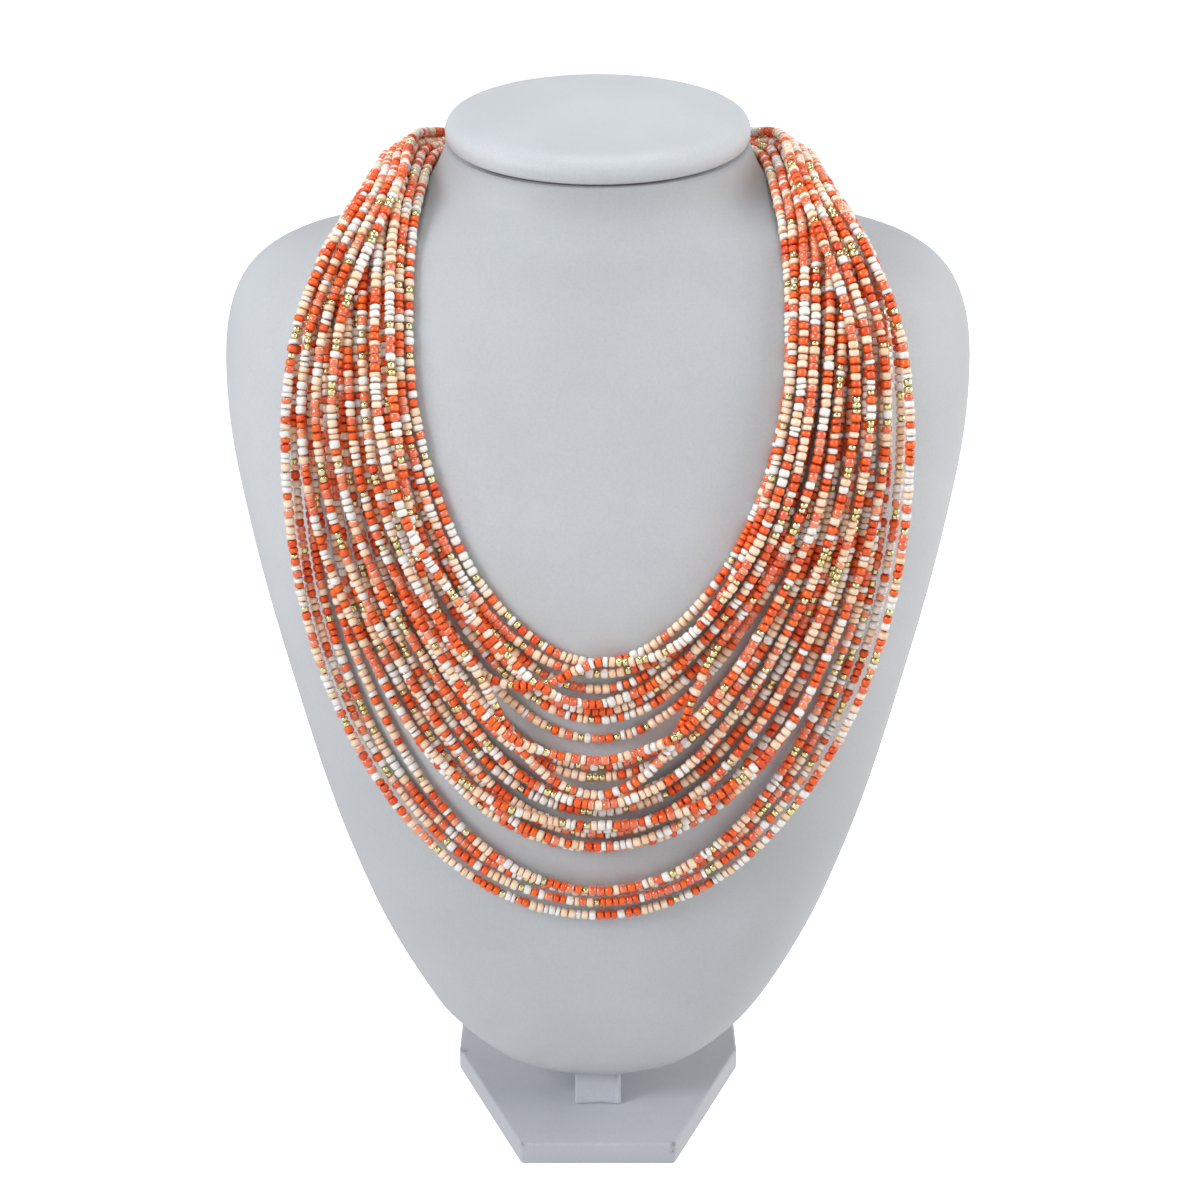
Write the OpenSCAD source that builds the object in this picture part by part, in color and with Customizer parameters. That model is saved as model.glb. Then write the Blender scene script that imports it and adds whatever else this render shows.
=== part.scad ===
// A necklace of twenty-four seed bead strands, shown on a plain neck bust.
// The origin is the centre of the foot's underside. +Z is up and the bust faces -Y.

/* [Bust] */
// Height of the neck's seam above the table
neck_z = 296; // [276:1:326]
// Height of the body's lowest point above the table
tip_z = 16.5; // [14:0.5:22]
// Width over the shoulders
shoulder_w = 215; // [205:1:235]
// Depth of the chest in front of the centre line
chest_front = 52; // [46:1:58]
// Depth of the back behind the centre line
chest_back = 44.5; // [38:0.5:52]
// Width of the neck at its seam
neck_w = 86; // [78:1:94]
// Depth of the neck at its seam
neck_d = 76; // [68:1:84]
// How far the body leans back, in degrees
lean = 6; // [2:0.5:9]
// How far the top of the neck tips forward, in degrees
neck_tilt = 12; // [4:1:16]
// Thickness of the padded cap on the neck
cap_h = 7.6; // [6:0.2:11]

/* [Stand] */
// Length of the foot, front to back
foot_len = 108; // [100:1:130]
// Width of the foot
foot_w = 89; // [76:1:110]
// Width of the foot's front edge
foot_front_w = 46; // [34:1:60]
// Length of each front corner's cut, front to back
foot_cut = 58; // [40:1:75]
// Thickness of the foot
foot_h = 7; // [5:0.5:10]
// Width of the post, which is square
post_w = 14; // [10:0.5:18]
// Distance from the foot's front edge to the middle of the post
post_back = 30; // [26:0.5:40]
// How far the post goes up into the body, measured from the body's lowest point
post_in = 22; // [14:1:30]

/* [Strands] */
// Thickness of a strand, which is its largest bead
bead_d = 2.7; // [2.2:0.1:2.8]
// Space kept between strands that touch
strand_gap = 0.25; // [0.25:0.05:0.5]
// Space kept between the lowest strands and the bust
bust_gap = 0.7; // [0.4:0.1:1]
// How far the shortest strand hangs below the neck's seam
inner_drop = 132.5; // [120:0.5:150]
// How far the longest strand hangs below the neck's seam
outer_drop = 214; // [190:1:230]

/* [Clasp] */
// Length of the clasp along the strands
clasp_len = 19; // [14:0.5:26]
// Wall of the clasp round the strands
clasp_wall = 1.2; // [0.8:0.1:2]
// How far the strands go into each end
clasp_in = 2.5; // [1.5:0.25:4]

/* [Hidden] */
STRAND_COUNT = 24;
function strand_name(i) = str("strand_", i < 9 ? "0" : "", i + 1);
$fn = 48;

leatherette = [0.83, 0.85, 0.89];
gold = [0.80, 0.68, 0.36];
bead_colours = [[0.93, 0.36, 0.16], [0.97, 0.80, 0.67], [0.97, 0.95, 0.93], [0.93, 0.53, 0.42]];

seam_gap = 0.3;
fit_gap = 0.3;
pocket_gap = 0.5;
clasp_corner = 2;
post_y = post_back - foot_len / 2;
seam_y = post_y + (neck_z - tip_z) * tan(lean);

// The body's sections, from its lowest point to the neck's seam. The first number is the height,
// as a share of the way up to the seam. A section's half width is its shoulder share of half
// the shoulder width plus its neck share of half the neck's. Its depths are the front share of
// the chest and the back share of the back, each plus the neck share of half the neck's depth.
// The last number says how square the front half is, where 2 is an ellipse.
// height, shoulder, neck, front, back, squareness
SECTIONS = [
    [0, 0.028, 0, 0.058, 0.067, 2.2],
    [0.005, 0.13, 0, 0.154, 0.157, 2.2],
    [0.017, 0.251, 0, 0.25, 0.225, 2.2],
    [0.055, 0.386, 0, 0.356, 0.292, 2.2],
    [0.105, 0.488, 0, 0.471, 0.382, 2.3],
    [0.177, 0.595, 0, 0.596, 0.494, 2.3],
    [0.299, 0.724, 0, 0.76, 0.63, 2.3],
    [0.442, 0.835, 0, 0.885, 0.764, 2.3],
    [0.585, 0.93, 0, 0.971, 0.865, 2.3],
    [0.71, 0.99, 0, 1, 0.944, 2.25],
    [0.785, 1, 0, 0.971, 0.99, 2.15],
    [0.8425, 0.977, 0, 0.913, 1, 2],
    [0.882, 0.916, 0, 0.855, 0.99, 1.85],
    [0.907, 0.735, 0.2, 0.67, 0.8, 1.75],
    [0.921, 0.49, 0.5, 0.42, 0.52, 1.75],
    [0.939, 0.18, 0.9, 0.1, 0.14, 1.85],
    [0.964, 0.046, 1, 0.01, 0.02, 1.95],
    [1, 0, 1, 0, 0, 2],
];
back_squareness = 2.6;
tilt_start = 0.92;
ring_points = 28;
ring_step = 21;

// The padded cap's outline. Both numbers are shares of cap_h.
// height, how far it stands out from the neck
CAP = [[0, -0.08], [0.04, 0.03], [0.25, 0.11], [0.5, 0.11], [0.75, 0], [0.92, -0.24], [1, -0.6], [1.03, -1.45]];
cap_crown = 1.14;

// The foot has square back corners and cut front ones.
foot_outline = [[-foot_front_w / 2, -foot_len / 2], [foot_front_w / 2, -foot_len / 2],
    [foot_w / 2, foot_cut - foot_len / 2], [foot_w / 2, foot_len / 2],
    [-foot_w / 2, foot_len / 2], [-foot_w / 2, foot_cut - foot_len / 2]];

// The strands' route, from the clasp at the nape over the left shoulder. Each row places the
// shortest strand, and then the longest from it. x is a share of half the neck's width, y of
// half its depth from the centre line, and z of the way up to the seam. The last three numbers
// are the way to the longest strand, as shares of the width of the bundle.
// x, y, z, across x, across y, across z
NECK_ROUTE = [
    [0, 1.13, 0.985, 0, 0.2, -0.98],
    [0.75, 0.98, 0.98, -0.44, 0.28, -0.88],
    [1.09, 0.39, 0.98, -0.81, 0.21, -0.59],
    [1.14, -0.25, 0.963, -0.91, 0.3, -0.39],
    [1.165, -0.77, 0.9385, -0.99, 0.42, -0.21],
];
// On the chest the strands lie on the bust, so a row has no y. x is a share of half the neck's
// width for the shortest strand and of half the shoulders' for the longest, and each strand's
// depth is a share of its drop. The last row is the middle of the chest.
// short x, short depth, long x, long depth
CHEST_ROUTE = [
    [1.17, 0.28, 0.73, 0.187],
    [1.15, 0.472, 0.748, 0.318],
    [1.01, 0.657, 0.75, 0.449],
    [0.8, 0.808, 0.722, 0.58],
    [0.56, 0.91, 0.645, 0.715],
    [0.35, 0.966, 0.5, 0.85],
    [0.175, 0.992, 0.28, 0.958],
    [0, 1, 0, 1],
];
// The route rows at which a strand's place across the bundle is given, clasp to chest
KEY_ROWS = [0, 3.5, 6, 9, 12];
// Each strand's place across the bundle, in the order in which they are laid on each other.
// The first and last numbers are its column at the neck, of the eight there. Half a column lies
// between two strands of the layer below, so the bundle is a mound of four layers there. The
// other numbers are shares, where 0 is the shortest strand's place and 1 the longest's.
// left column, left side, low left, middle, low right, right side, right column
STRANDS = [
    [0, 0, 0.02, 0.03, 0.02, 0.03, 0],
    [1, 0.13, 0.12, 0.125, 0.1, 0.14, 1],
    [2, 0.26, 0.22, 0.235, 0.22, 0.26, 2],
    [3, 0.38, 0.38, 0.41, 0.37, 0.38, 3],
    [4, 0.52, 0.5, 0.535, 0.5, 0.51, 4],
    [5, 0.65, 0.62, 0.665, 0.62, 0.64, 5],
    [6, 0.79, 0.74, 0.72, 0.76, 0.79, 6],
    [7, 0.93, 0.92, 0.895, 0.9, 0.92, 7],
    [0.5, 0.06, 0.07, 0.065, 0.07, 0.01, 0.5],
    [1.5, 0.18, 0.17, 0.2, 0.16, 0.2, 1.5],
    [2.5, 0.31, 0.29, 0.305, 0.28, 0.33, 2.5],
    [3.5, 0.44, 0.42, 0.44, 0.42, 0.44, 3.5],
    [4.5, 0.57, 0.55, 0.58, 0.56, 0.57, 4.5],
    [5.5, 0.71, 0.67, 0.7, 0.69, 0.7, 5.5],
    [6.5, 0.85, 0.83, 0.875, 0.84, 0.86, 6.5],
    [5, 0.98, 0.97, 0.925, 0.96, 0.97, 5],
    [1, 0.1, 0.3, 0.01, 0.05, 0.08, 1],
    [2, 0.22, 0.1, 0.16, 0.13, 0.17, 2],
    [3, 0.35, 0.24, 0.49, 0.2, 0.3, 3],
    [4, 0.48, 0.35, 0.355, 0.33, 0.41, 4],
    [0.5, 0.61, 0.46, 0.515, 0.47, 0.54, 0.5],
    [1.5, 0.75, 0.58, 0.635, 0.6, 0.67, 1.5],
    [2.5, 0.89, 0.71, 0.6, 0.73, 0.83, 2.5],
    [3.5, 1, 1, 0.99, 1, 1, 3.5],
];
neck_columns = 8;
strand_sides = 8;
half_stations = 18;

strand_pitch = bead_d + strand_gap;
column_pitch = strand_pitch * 1.02;
bundle_w = (neck_columns - 1) * column_pitch;
strand_lift = bead_d / 2 + bust_gap;

function unit(v) = v / norm(v);
function smooth(t) = let (u = min(max(t, 0), 1)) u * u * (3 - 2 * u);
function mix(a, b, t) = a + (b - a) * t;
function signed_power(v, p) = sign(v) * pow(abs(v), p);
function mirrored(v) = [-v.x, v.y, v.z];

// The sections in millimetres: height, half width, front depth, back depth, squareness
SIZES = [for (s = SECTIONS) [
    mix(tip_z, neck_z, s[0]),
    s[1] * shoulder_w / 2 + s[2] * neck_w / 2,
    s[3] * chest_front + s[2] * neck_d / 2,
    s[4] * chest_back + s[2] * neck_d / 2,
    s[5]]];
last_section = len(SIZES) - 1;
function slope_at(i) = let (a = max(i - 1, 0), b = min(i + 1, last_section))
    (SIZES[b] - SIZES[a]) / (SIZES[b][0] - SIZES[a][0]);
SLOPES = [for (i = [0:last_section]) slope_at(i)];

// The section at any height: a smooth curve through the table's rows
function section_at(z) = let (
        i = min(max([0, for (j = [0:last_section]) if (SIZES[j][0] <= z) j]), last_section - 1),
        step = SIZES[i + 1][0] - SIZES[i][0],
        t = (z - SIZES[i][0]) / step)
    SIZES[i] * (2 * t * t * t - 3 * t * t + 1) + SIZES[i + 1] * (3 * t * t - 2 * t * t * t)
    + SLOPES[i] * (t * t * t - 2 * t * t + t) * step + SLOPES[i + 1] * (t * t * t - t * t) * step;
function centre_y(z) = post_y + (z - tip_z) * tan(lean);

// A point on the bust's surface. 0 degrees is the right side and 270 the front.
function bust_point(z, angle, stand_out = 0, up = 0) = let (
        s = section_at(z),
        share = (z - tip_z) / (neck_z - tip_z),
        front = sin(angle) < 0,
        power = 2 / (front ? s[4] : mix(back_squareness, 2, smooth((share - 0.83) / 0.17))),
        x = (s[1] + stand_out) * signed_power(cos(angle), power),
        y = ((front ? s[2] : s[3]) + stand_out) * signed_power(sin(angle), power),
        tipped = smooth((share - tilt_start) / (1 - tilt_start)))
    [x, centre_y(z) + y, z + tipped * y * tan(neck_tilt) + up];

// The chest's surface in front, as y at a place seen from the front, and its outward direction
function chest_y(x, z) = let (s = section_at(z), share = min(abs(x) / s[1], 0.999))
    centre_y(z) - s[2] * pow(1 - pow(share, s[4]), 1 / s[4]);
function chest_normal(x, z) = let (e = bead_d / 5)
    unit([(chest_y(x + e, z) - chest_y(x - e, z)) / (2 * e), -1,
        (chest_y(x, z + e) - chest_y(x, z - e)) / (2 * e)]);
function on_chest(x, z) = [x, chest_y(x, z), z] + chest_normal(x, z) * strand_lift;

// A closed solid through rings of the same number of points, with a middle point at each end
module loft(rings, first, last) {
    n = len(rings[0]);
    m = len(rings);
    points = [for (r = rings) each r, first, last];
    faces = [
        for (j = [0:n - 1]) let (k = (j + 1) % n) each [
            [n * m, k, j],
            [n * m + 1, (m - 1) * n + j, (m - 1) * n + k],
            for (i = [0:m - 2]) each [
                [i * n + j, i * n + k, (i + 1) * n + k],
                [i * n + j, (i + 1) * n + k, (i + 1) * n + j]]]];
    // Faces seen from outside run clockwise
    polyhedron(points, [for (f = faces) [f[2], f[1], f[0]]]);
}
function middle(ring) = [for (c = [0:2]) [for (p = ring) p[c]] * [for (p = ring) 1] / len(ring)];

ring_heights = [for (i = [0:last_section - 1])
    let (rise = SIZES[i + 1][0] - SIZES[i][0], parts = ceil(rise / ring_step))
    for (j = [0:parts - 1]) SIZES[i][0] + rise * j / parts];
function bust_ring(z, stand_out = 0, up = 0) =
    [for (j = [0:ring_points - 1]) bust_point(z, 360 * j / ring_points, stand_out, up)];

module neck_bust() {
    rings = [for (z = concat(ring_heights, [neck_z])) bust_ring(z)];
    socket_w = post_w + 2 * fit_gap;
    socket_h = post_in + tip_z - foot_h + fit_gap;
    color(leatherette) difference() {
        loft(rings, middle(rings[0]), middle(rings[len(rings) - 1]));
        translate([-socket_w / 2, post_y - socket_w / 2, foot_h]) cube([socket_w, socket_w, socket_h]);
    }
}

module neck_cap() {
    rings = [for (c = CAP) bust_ring(neck_z, c[1] * cap_h, seam_gap + c[0] * cap_h)];
    top = middle(rings[0]);
    color(leatherette) loft(rings, middle(rings[0]), [0, seam_y, neck_z + seam_gap + cap_h * cap_crown]);
}

module post() {
    color(leatherette) translate([-post_w / 2, post_y - post_w / 2, foot_h])
        cube([post_w, post_w, tip_z + post_in - foot_h]);
}

module foot() {
    color(leatherette) linear_extrude(foot_h) polygon(foot_outline);
}

// The route's rows in millimetres: the shortest strand's point, then the longest's
function neck_row(r) = let (
        z = mix(tip_z, neck_z, r[2]),
        x = r[0] == 0 ? clasp_len / 2 - clasp_in : r[0] * neck_w / 2,
        p = [-x, centre_y(z) + r[1] * neck_d / 2, z])
    concat(p, p + bundle_w * [r[3], r[4], r[5]]);
function chest_row(r) = concat(
    on_chest(-r[0] * neck_w / 2, neck_z - r[1] * inner_drop),
    on_chest(-r[2] * shoulder_w / 2, neck_z - r[3] * outer_drop));
half_route = concat([for (r = NECK_ROUTE) neck_row(r)], [for (r = CHEST_ROUTE) chest_row(r)]);
last_row = len(half_route) - 1;
before_last = half_route[last_row - 1];
past_middle = [-before_last[0], before_last[1], before_last[2],
    -before_last[3], before_last[4], before_last[5]];
route = concat([2 * half_route[0] - half_route[1]], half_route, [past_middle]);

// The route at any place along it: a smooth curve through the rows
function route_at(t) = let (
        i = min(floor(t), last_row - 1), u = t - i,
        a = route[i], b = route[i + 1], c = route[i + 2], d = route[i + 3])
    (2 * b + (c - a) * u + (2 * a - 5 * b + 4 * c - d) * u * u + (3 * b - a - 3 * c + d) * u * u * u) / 2;
// A place across the bundle: straight between its edges at the neck, on the bust at the chest
function bundle_point(t, share) = let (
        r = route_at(t),
        p = mix([r[0], r[1], r[2]], [r[3], r[4], r[5]], share),
        lying = smooth(t - 3.7))
    lying == 0 ? p : mix(p, on_chest(p.x, p.z), lying);

// Stations along the left half, with the way along the bundle, across it and out of it
half_places = [for (k = [0:half_stations]) last_row * k / half_stations];
half_mid = [for (t = half_places) bundle_point(t, 0.5)];
function along_at(k) = k == 0 ? [-1, 0, 0] : k == half_stations ? [1, 0, 0]
    : unit(half_mid[k + 1] - half_mid[k - 1]);
half_across = [for (k = [0:half_stations])
    let (v = bundle_point(half_places[k], 1) - bundle_point(half_places[k], 0), along = along_at(k))
    unit(v - along * (v * along))];
half_out = [for (k = [0:half_stations]) unit(cross(half_across[k], along_at(k)))];
// Layers are a little further apart where the bundle turns, as at a mitre
function mitre_at(k) = k == 0 || k == half_stations ? 1
    : let (a = unit(half_mid[k] - half_mid[k - 1]), b = unit(half_mid[k + 1] - half_mid[k]))
        1 / sqrt((1 + a * b) / 2);

last_station = 2 * half_stations;
stations = [0:last_station];
function folded(k) = k > half_stations ? last_station - k : k;
across = [for (k = stations) k > half_stations ? mirrored(half_across[folded(k)]) : half_across[k]];
out = [for (k = stations) k > half_stations ? mirrored(half_out[folded(k)]) : half_out[k]];
mitre = [for (k = stations) mitre_at(folded(k))];

// A strand's place across the bundle at a station
function place_keys(row, left) = left
    ? [row[0] / (neck_columns - 1), row[0] / (neck_columns - 1), row[1], row[2], row[3]]
    : [row[6] / (neck_columns - 1), row[6] / (neck_columns - 1), row[5], row[4], row[3]];
function share_at(row, k) = let (
        t = half_places[folded(k)], keys = place_keys(row, k <= half_stations),
        i = t < KEY_ROWS[1] ? 0 : t < KEY_ROWS[2] ? 1 : t < KEY_ROWS[3] ? 2 : 3)
    mix(keys[i], keys[i + 1], smooth((t - KEY_ROWS[i]) / (KEY_ROWS[i + 1] - KEY_ROWS[i])));
function lowest_point(row, k) = let (p = bundle_point(half_places[folded(k)], share_at(row, k)))
    k > half_stations ? mirrored(p) : p;
lowest = [for (row = STRANDS) [for (k = stations) lowest_point(row, k)]];
sideways = [for (s = lowest) [for (k = stations) s[k] * across[k]]];
heights = [for (s = lowest) [for (k = stations) s[k] * out[k]]];

// Strands are laid one after another. Each rests on the bust or on those laid before it that
// it meets at the station, and one that it crosses before the next station counts as met.
function crossed(i, j, k, q) = q >= 0 && q <= last_station
    && (sideways[i][k] - sideways[j][k]) * (sideways[i][q] - sideways[j][q]) < 0;
function apart(i, j, k) = crossed(i, j, k, k - 1) || crossed(i, j, k, k + 1) ? 0
    : abs(sideways[i][k] - sideways[j][k]);
function raised(i, laid) = [for (k = stations) max([0, for (j = [0:1:i - 1])
    let (d = apart(i, j, k)) if (d < strand_pitch)
        laid[j][k] + heights[j][k] - heights[i][k] + mitre[k] * sqrt(strand_pitch * strand_pitch - d * d)])];
function near(k) = [max(k - 1, 0):min(k + 1, last_station)];
function widened(v) = [for (k = stations) max([for (q = near(k)) v[q]])];
function averaged(v) = [for (k = stations) let (w = [for (q = near(k)) v[q]]) w * [for (x = w) 1] / len(w)];
function eased(v) = let (a = averaged(widened(v))) [for (k = stations) max(a[k], v[k])];
function lay(i, laid) = i == STRAND_COUNT ? laid : lay(i + 1, concat(laid, [eased(raised(i, laid))]));
lifts = lay(0, []);

function strand_centre(i, k) = lowest[i][k] + out[k] * lifts[i][k];
function strand_ring(centres, k) = let (
        along = k == 0 || k == last_station ? [-1, 0, 0] : unit(centres[k + 1] - centres[k - 1]),
        u = unit(across[k] - along * (across[k] * along)), v = cross(along, u))
    [for (a = [0:strand_sides - 1]) let (angle = 360 * (a + 0.5) / strand_sides)
        centres[k] + (u * cos(angle) + v * sin(angle)) * bead_d / 2];

module strand(i) {
    centres = [for (k = stations) strand_centre(i, k)];
    rings = [for (k = stations) strand_ring(centres, k)];
    color(bead_colours[i % len(bead_colours)]) loft(rings, centres[0], centres[last_station]);
}

// A box clasp whose two ends take the strands
module clasp() {
    top_lift = max([for (v = lifts) v[0]]);
    inside = [top_lift + bead_d + 2 * pocket_gap, bundle_w + bead_d + 2 * pocket_gap];
    outside = inside + [2, 2] * clasp_wall;
    centre = bundle_point(0, 0.5) + out[0] * top_lift / 2;
    turn = atan2(out[0].z, out[0].y);
    color(gold) translate([0, centre.y, centre.z]) rotate([turn, 0, 0]) rotate([90, 0, 90])
        difference() {
            linear_extrude(clasp_len, center = true) rounded(outside, clasp_corner);
            for (side = [-1, 1])
                translate([0, 0, side * (clasp_len - clasp_in - fit_gap + clasp_wall) / 2])
                    linear_extrude(clasp_in + fit_gap + clasp_wall, center = true)
                        rounded(inside, clasp_corner / 2);
        }
}
module rounded(size, r) {
    square([size.x - 2 * r, size.y], center = true);
    square([size.x, size.y - 2 * r], center = true);
    for (x = [-1, 1], y = [-1, 1]) translate([x * (size.x / 2 - r), y * (size.y / 2 - r)]) circle(r);
}

neck_bust();
neck_cap();
post();
foot();
clasp();
for (i = [0:STRAND_COUNT - 1]) strand(i);
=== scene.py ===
# %% [markdown]
# # A necklace of many bead strands on a neck bust
# The real necklace is two dozen strings of small glass beads, drawn together at the nape by a
# clasp and spread over a covered bust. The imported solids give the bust, its stand and the path of
# every string. This script dresses them: it covers the bust, threads the strings with single
# beads, and sets up the light and the camera.

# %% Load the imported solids
import math
import random

import bpy
import numpy as np
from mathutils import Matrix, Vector


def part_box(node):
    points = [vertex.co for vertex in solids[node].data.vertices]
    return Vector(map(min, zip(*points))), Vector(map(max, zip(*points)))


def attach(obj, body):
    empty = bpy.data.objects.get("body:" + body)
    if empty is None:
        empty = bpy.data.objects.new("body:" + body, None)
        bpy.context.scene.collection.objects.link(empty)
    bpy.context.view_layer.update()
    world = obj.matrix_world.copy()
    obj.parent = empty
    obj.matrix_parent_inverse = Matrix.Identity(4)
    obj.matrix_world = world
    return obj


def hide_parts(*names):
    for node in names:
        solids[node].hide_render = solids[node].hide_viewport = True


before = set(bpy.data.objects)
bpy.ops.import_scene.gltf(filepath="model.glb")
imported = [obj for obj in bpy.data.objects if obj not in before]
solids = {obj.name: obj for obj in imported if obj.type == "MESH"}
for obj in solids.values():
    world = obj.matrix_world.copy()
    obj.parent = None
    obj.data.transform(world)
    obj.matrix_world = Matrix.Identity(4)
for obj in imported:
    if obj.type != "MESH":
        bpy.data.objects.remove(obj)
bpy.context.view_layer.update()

mm = 0.001
strand_names = sorted(name for name in solids if name.startswith("strand_"))


def in_mm(place):
    """A place in millimetres, rounded for printing."""
    return [round(c / mm, 1) for c in place]


print("solids:", len(solids), "of them strands:", len(strand_names))

# %% [markdown]
# ## Camera
# The camera stands in front of the bust and a little above it, and looks down on the chest. Its
# height and distance are those at which the oval of the cap, the shoulders and the foot come out
# as large as in the photograph. The view transform is the plain one, so that a pale cover stays
# as pale as it was lit.

# %% Camera
look_down = 18
camera_data = bpy.data.cameras.new("camera")
camera_data.lens = 72
camera_data.sensor_width = 36
camera_data.clip_end = 50
camera = bpy.data.objects.new("camera", camera_data)
camera.location = (0.0006, -0.68476, 0.38249)
camera.rotation_euler = (math.radians(90 - look_down), 0, 0)
bpy.context.scene.collection.objects.link(camera)
bpy.context.scene.camera = camera
bpy.context.scene.view_settings.view_transform = "Standard"
print("camera in mm:", in_mm(camera.location), "looking down by", look_down, "degrees")

# %% [markdown]
# ## Light and floor
# In the photograph the sides of the neck and the shoulders are brighter than the middle of the
# neck, so the light comes from both sides. A small and slightly cool softbox stands at the left in
# front, a larger and warmer one at the right, and a third hangs overhead. The pale walls of the
# studio fill in the rest: the world is bright up to about thirty degrees above the floor and dim
# over that. The floor is white paper that runs past the edge of the picture on all sides.

# %% Softboxes
chest = (0, -0.05, 0.20)


def softbox(name, place, size, power, colour):
    """A square softbox that faces the chest."""
    data = bpy.data.lights.new(name, "AREA")
    data.shape = "SQUARE"
    data.size = size
    data.energy = power
    data.color = colour
    lamp = bpy.data.objects.new(name, data)
    lamp.location = place
    lamp.rotation_euler = (Vector(chest) - Vector(place)).to_track_quat("-Z", "Y").to_euler()
    bpy.context.scene.collection.objects.link(lamp)
    print(name, "size in m:", size, "power in W:", power)


softbox("softbox_left", (-1.1, -0.8, 0.9), size=0.6, power=14.2, colour=(0.96, 0.975, 1.0))
softbox("softbox_right", (1.4, -0.2, 0.65), size=1.2, power=13.6, colour=(1.0, 0.98, 0.95))
softbox("softbox_top", (0.0, 0.0, 1.6), size=0.6, power=9.4, colour=(0.95, 0.985, 1.0))


# %% Helpers for shader nodes
def node(tree, kind, **settings):
    """Add a node and set its properties and its unlinked inputs."""
    made = tree.nodes.new(kind)
    for key, value in settings.items():
        if key in made.inputs:
            made.inputs[key].default_value = value
        else:
            setattr(made, key, value)
    return made


def ramp(tree, source, *stops):
    """A colour ramp with stops of (position, (r, g, b)) or (position, grey)."""
    made = node(tree, "ShaderNodeValToRGB")
    elements = made.color_ramp.elements
    while len(elements) < len(stops):
        elements.new(0.5)
    for element, (position, colour) in zip(elements, stops):
        element.position = position
        rgb = colour if isinstance(colour, tuple) else (colour,) * 3
        element.color = (*rgb, 1)
    tree.links.new(source, made.inputs["Fac"])
    return made.outputs["Color"]


def new_material(name):
    """A material with its node tree and its shader."""
    material = bpy.data.materials.new(name)
    material.use_nodes = True
    print("material:", name)
    return material, material.node_tree, material.node_tree.nodes["Principled BSDF"]


# %% Studio walls
wall_tops = (0.44, 0.56)  # sine of the angle above the floor where the walls end and the dim starts
world = bpy.data.worlds.new("studio")
world.use_nodes = True
sky = world.node_tree
sky_way = node(sky, "ShaderNodeTexCoord")
sky_height = node(sky, "ShaderNodeSeparateXYZ")
sky.links.new(sky_way.outputs["Generated"], sky_height.inputs["Vector"])
walls = ramp(sky, sky_height.outputs["Z"],
             (wall_tops[0], (0.76, 0.762, 0.772)), (wall_tops[1], (0.15, 0.155, 0.165)))
sky.links.new(walls, sky.nodes["Background"].inputs["Color"])
bpy.context.scene.world = world
print("world:", world.name)

# %% Paper floor
bpy.ops.object.select_all(action="DESELECT")
bpy.ops.mesh.primitive_plane_add(size=40, location=(0, 0, 0))
floor = bpy.context.object
floor.name = "paper_floor"
paper, _, paper_shader = new_material("white_paper")
paper_shader.inputs["Base Color"].default_value = (0.9, 0.9, 0.9, 1)
paper_shader.inputs["Roughness"].default_value = 0.9
paper_shader.inputs["Specular IOR Level"].default_value = 0.1
paper_shader.inputs["Emission Color"].default_value = (1, 1, 1, 1)
paper_shader.inputs["Emission Strength"].default_value = 0.8
floor.data.materials.append(paper)
floor.visible_diffuse = False
floor.visible_glossy = False
print("floor:", floor.name)

# %% [markdown]
# ## Taking over a solid
# A CAD solid arrives as loose triangles. A copy of it is merged into one closed mesh and turned
# back into four-sided faces before it is rounded or subdivided. Every finished piece rides on the
# one body of this part, takes its materials, and takes the place of the solid it covers, which is
# hidden.

# %% Helpers for pieces
quad_angle = math.radians(50)


def pick(piece):
    """Select one piece alone, and make it the active one."""
    bpy.ops.object.select_all(action="DESELECT")
    piece.select_set(True)
    bpy.context.view_layer.objects.active = piece


def merged_copy(solid, name, quads=True):
    """A copy of a CAD solid as one closed mesh, of four-sided faces unless told otherwise."""
    piece = bpy.data.objects.new(name, solids[solid].data.copy())
    bpy.context.scene.collection.objects.link(piece)
    piece.data.materials.clear()
    pick(piece)
    bpy.ops.object.mode_set(mode="EDIT")
    bpy.ops.mesh.select_all(action="SELECT")
    bpy.ops.mesh.remove_doubles(threshold=1e-6)
    if quads:
        bpy.ops.mesh.tris_convert_to_quads(face_threshold=quad_angle, shape_threshold=quad_angle)
    bpy.ops.mesh.normals_make_consistent(inside=False)
    bpy.ops.object.mode_set(mode="OBJECT")
    return piece


def dress(piece, solid, slot, *materials):
    """Give a finished piece its materials and its body, and hide the solid that it stands for; the
    slot is not used.
    """
    for material in materials:
        piece.data.materials.append(material)
    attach(piece, "root")
    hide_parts(solid)
    print(piece.name, "faces:", len(piece.data.polygons))


# %% [markdown]
# ## Leatherette
# The bust and its stand are covered in a pale blue-grey leatherette. Close up it has a fine
# pebbled grain that breaks the shine, a faint cloudiness, and a few tiny marks. The grain is a
# cell pattern under a fine noise, used as bump and in the roughness. The marks are small balls in
# the piece's own space, so each one stays where it is seen on the real bust. Where the cap's cover
# meets the neck's, both are tucked in and a thin dark line is left: partly the dark tucked-in
# edges, partly painted shade in the gap, strongest in front. The bust's cover is also painted paler
# over the chest and darker high on the neck under the cap: painted light and painted shade that
# change with the height. A photograph of leather could be laid over the pieces instead, but a grain
# worked out from the place on the piece has the right size everywhere and needs neither a file nor a
# map.


# %% Helpers for materials
def object_place(tree):
    """The socket that gives a point's place on the piece, in metres."""
    return node(tree, "ShaderNodeTexCoord").outputs["Object"]


def noise(tree, place, **settings):
    """A noise in a piece's own space."""
    made = node(tree, "ShaderNodeTexNoise", **settings)
    tree.links.new(place, made.inputs["Vector"])
    return made.outputs["Fac"]


def maths(tree, operation, *values):
    """The result of a Math node; each value may be a socket or a number."""
    made = node(tree, "ShaderNodeMath", operation=operation)
    for socket, value in zip(made.inputs, values):
        if isinstance(value, bpy.types.NodeSocket):
            tree.links.new(value, socket)
        else:
            socket.default_value = value
    return made.outputs["Value"]


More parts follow.
